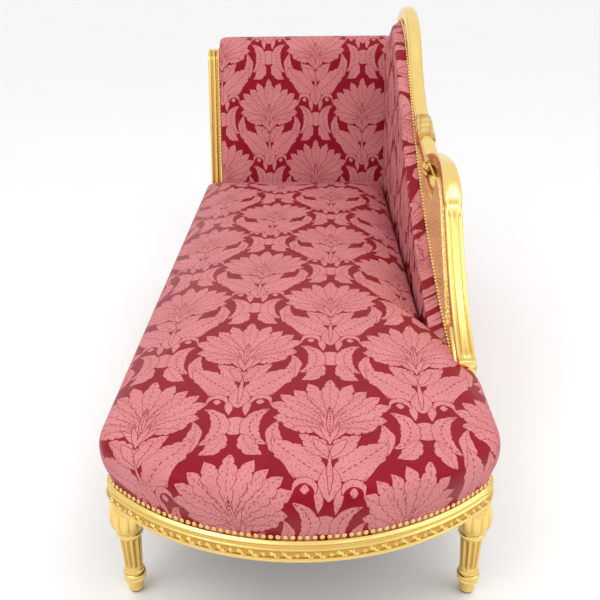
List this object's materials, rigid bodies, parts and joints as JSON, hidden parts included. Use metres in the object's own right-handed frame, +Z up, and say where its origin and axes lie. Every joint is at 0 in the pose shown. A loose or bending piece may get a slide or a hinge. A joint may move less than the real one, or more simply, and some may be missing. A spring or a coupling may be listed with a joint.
{
  "type": "meridienne",
  "caption": "Gilded daybed with a long bow-fronted stuffed seat on turned legs, a rolled headrest and a sloping arched side back ending in a carved scroll console, covered in damask.",
  "frame": {"origin": "on the floor, under the middle of the bounding box", "axes": "+Z up, +Y along the seat from the foot to the headrest, +X towards the side back"},
  "size_m": [0.672, 1.9, 0.9102],
  "materials": {
    "gilt_wood": "burnished gold leaf",
    "beech": "raw planed",
    "damask": "satin damask weave",
    "webbing": "herringbone jute",
    "hessian": "open plain weave",
    "dust_cloth": "matte thin weave",
    "stuffing": "matte open foam",
    "nail_brass": "polished",
    "steel": "plain",
    "glide": "matte"
  },
  "bodies": {
    "root": {"foot_rail": "gilt_wood", "left_seat_rail": "gilt_wood", "right_seat_rail": "gilt_wood", "head_rail": "gilt_wood", "leg_foot_left": "gilt_wood", "leg_foot_right": "gilt_wood", "leg_middle_left": "gilt_wood", "leg_middle_right": "gilt_wood", "leg_head_left": "gilt_wood", "leg_head_right": "gilt_wood", "head_post_left": "gilt_wood", "head_post_right": "gilt_wood", "back_arch": "gilt_wood", "back_console": "gilt_wood", "back_infill": "gilt_wood", "back_leaf": "gilt_wood", "back_rosette": "gilt_wood", "seat_cross_rail_1": "beech", "seat_cross_rail_2": "beech", "splice_blocks": "beech", "corner_blocks": "beech", "rail_dowels": "beech", "head_top_rail": "beech", "head_lower_rail": "beech", "back_bottom_rail": "beech", "back_stile": "beech", "seat_cover": "damask", "head_cover": "damask", "back_cover": "damask", "head_outside_cover": "damask", "back_outside_cover": "damask", "seat_cross_straps": "webbing", "seat_long_straps": "webbing", "head_straps": "webbing", "back_straps": "webbing", "seat_hessian": "hessian", "seat_dust_cover": "dust_cloth", "seat_foam": "stuffing", "head_foam": "stuffing", "back_foam": "stuffing", "seat_nail_strip": "nail_brass", "head_nail_strip": "nail_brass", "back_nail_strip": "nail_brass", "back_hem_strip": "nail_brass", "head_hem_strip": "nail_brass", "block_screws": "steel", "leg_bolts": "steel", "leg_glides": "glide"}
  },
  "joints": []
}
